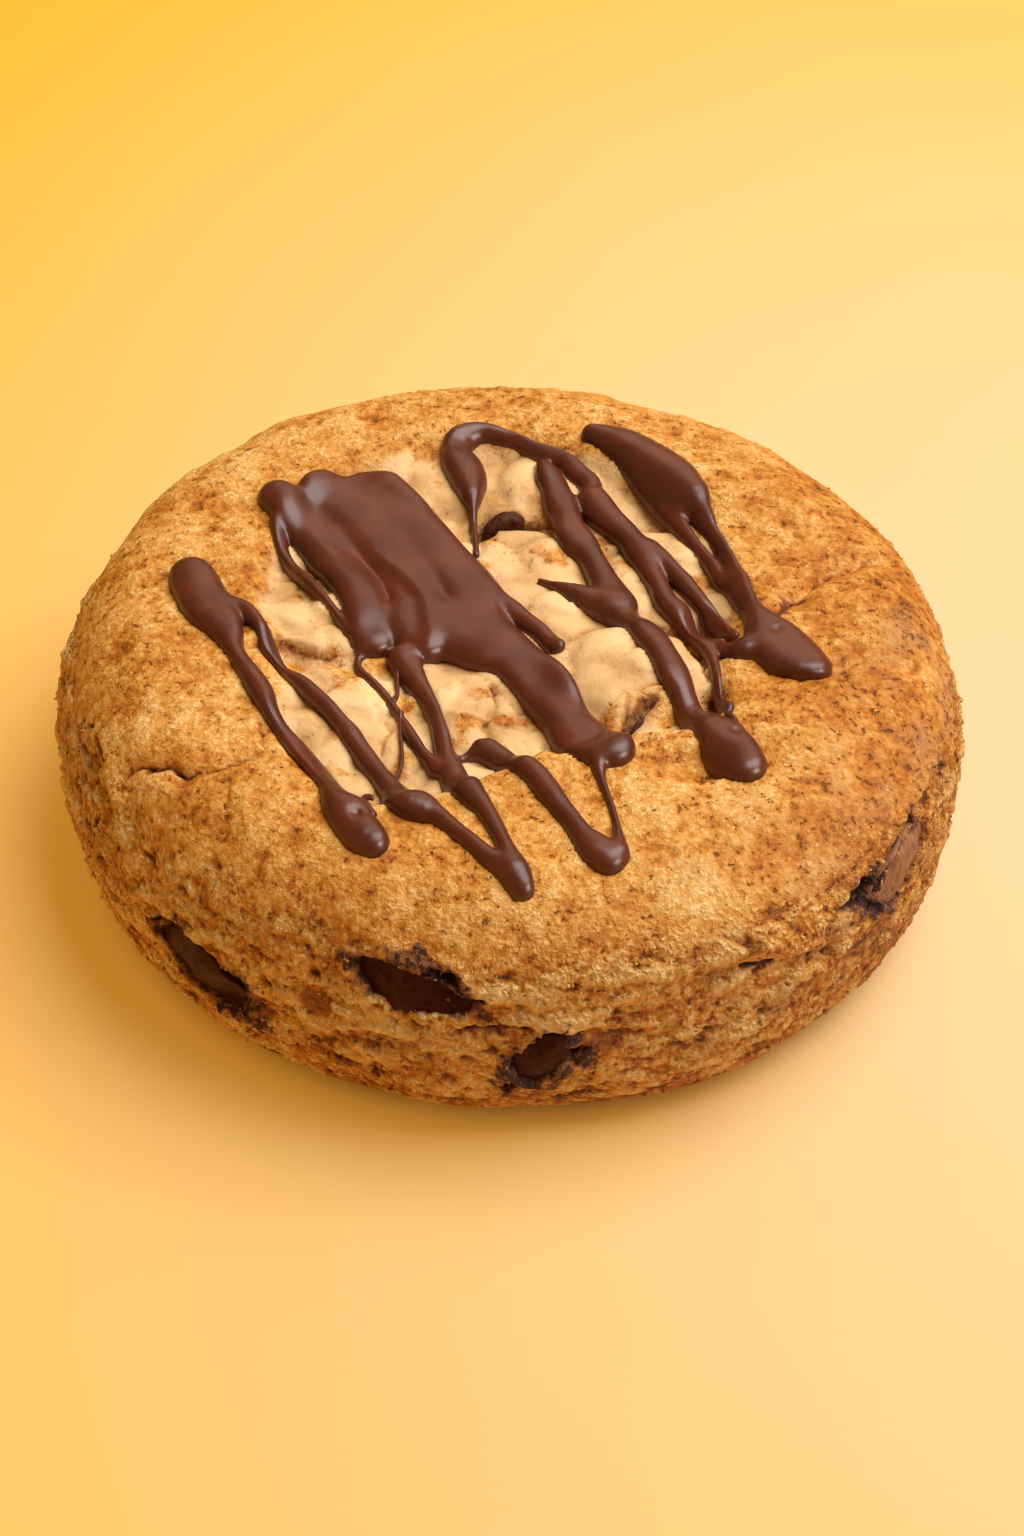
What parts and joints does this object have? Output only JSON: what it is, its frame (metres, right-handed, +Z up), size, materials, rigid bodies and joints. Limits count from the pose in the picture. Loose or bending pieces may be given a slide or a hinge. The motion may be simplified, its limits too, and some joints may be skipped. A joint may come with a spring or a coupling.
{
  "type": "deep dish cookie",
  "caption": "Thick round cookie with a browned craggy crust, chocolate chunks set into its side and melted chocolate drizzled over its sunken top.",
  "frame": {"origin": "centre of the flat base, on the surface that the cookie rests on", "axes": "+Z up, -Y towards the side shown to the viewer, +X to the viewer's right"},
  "size_m": [0.1105, 0.1109, 0.0354],
  "materials": {
    "crust": "matte",
    "chocolate": "satin"
  },
  "bodies": {
    "root": {"cookie": "crust", "chunk_side_left": "chocolate", "chunk_front_left": "chocolate", "chunk_front": "chocolate", "chunk_right": "chocolate", "chunk_back_right": "chocolate", "chunk_back": "chocolate", "chunk_back_low": "chocolate", "chunk_back_left": "chocolate", "chunk_crevice": "chocolate", "chunk_fold": "chocolate"}
  },
  "joints": []
}
